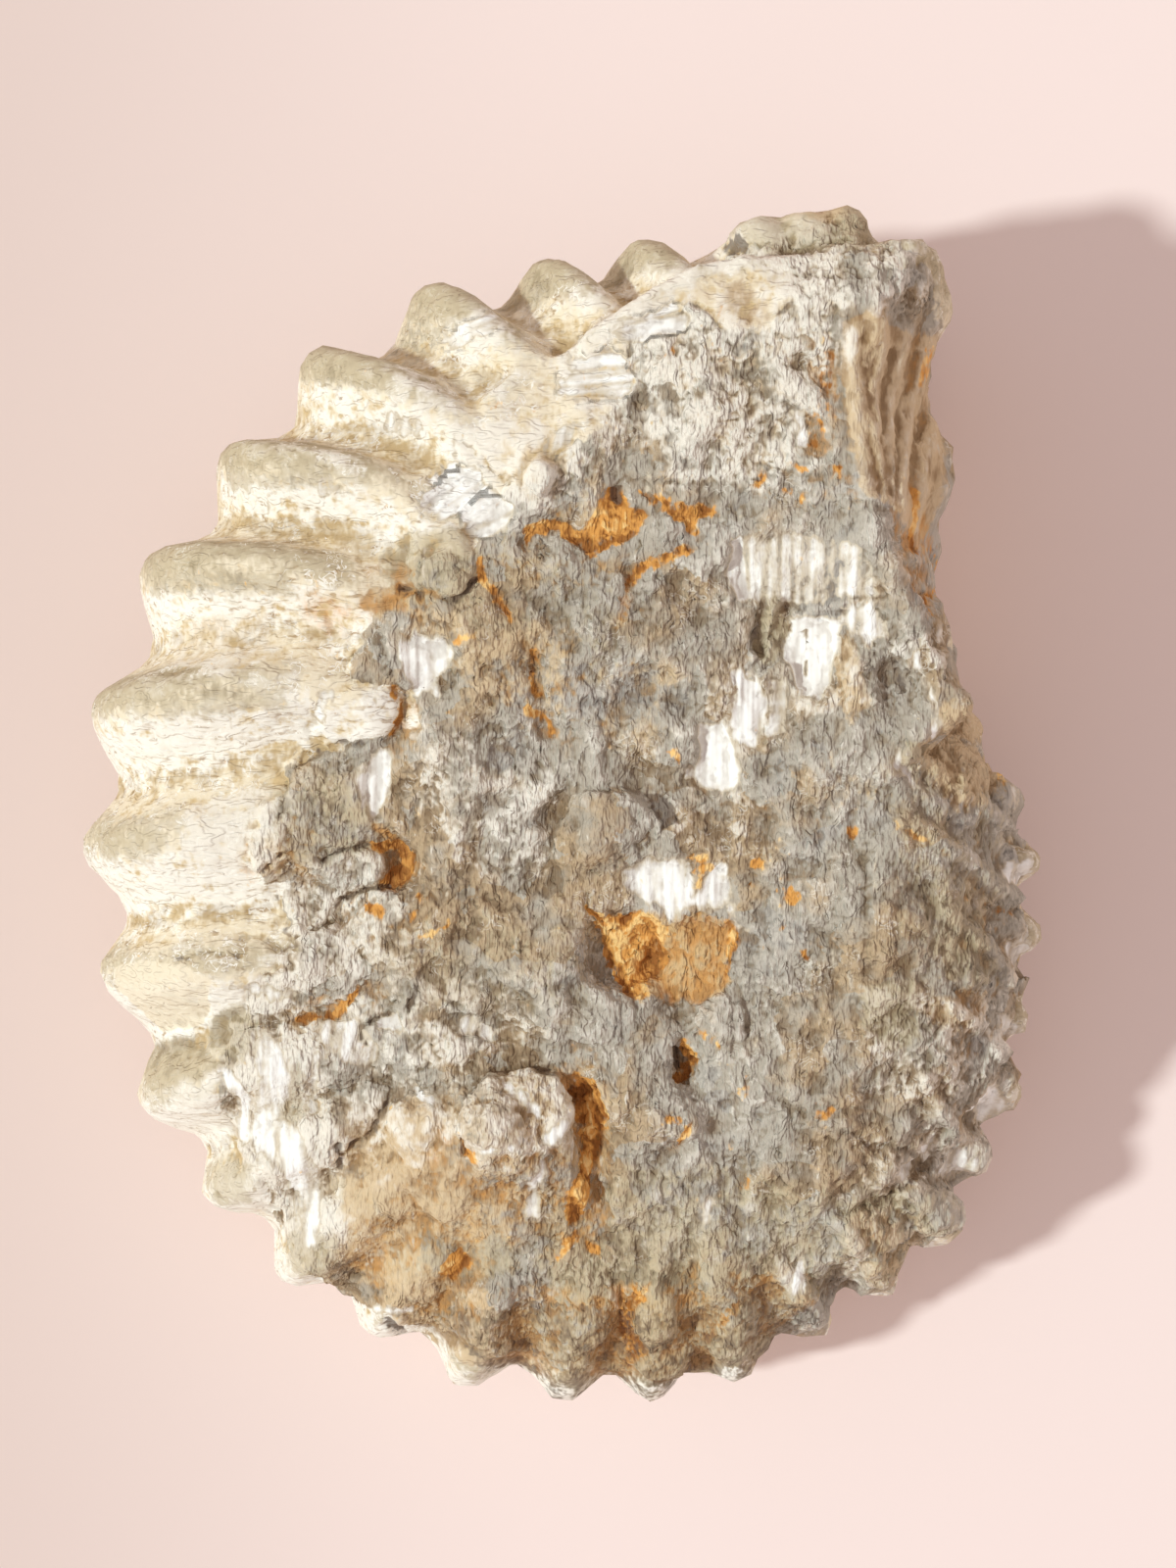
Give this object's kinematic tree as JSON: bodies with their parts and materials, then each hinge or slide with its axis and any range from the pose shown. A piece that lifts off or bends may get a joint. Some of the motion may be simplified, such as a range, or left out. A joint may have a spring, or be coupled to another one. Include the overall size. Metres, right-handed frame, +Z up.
{
  "type": "ammonite fossil",
  "caption": "Coarsely ribbed ammonite fossil in pale limestone, lying on its flank, with grey rock over its inner whorl and a broken aperture end.",
  "frame": {"origin": "middle of the bounding box, on the plane the fossil rests on", "axes": "+Z up, away from the flank it rests on; +Y along its longest side, towards the aperture end; +X towards the broken face"},
  "size_m": [0.1288, 0.1594, 0.057],
  "materials": {
    "stone": "matt weathered limestone, cream on the ribs and grey on the rock, with rust stains and chalky scars"
  },
  "bodies": {
    "root": {"ammonite": "stone"}
  },
  "joints": []
}
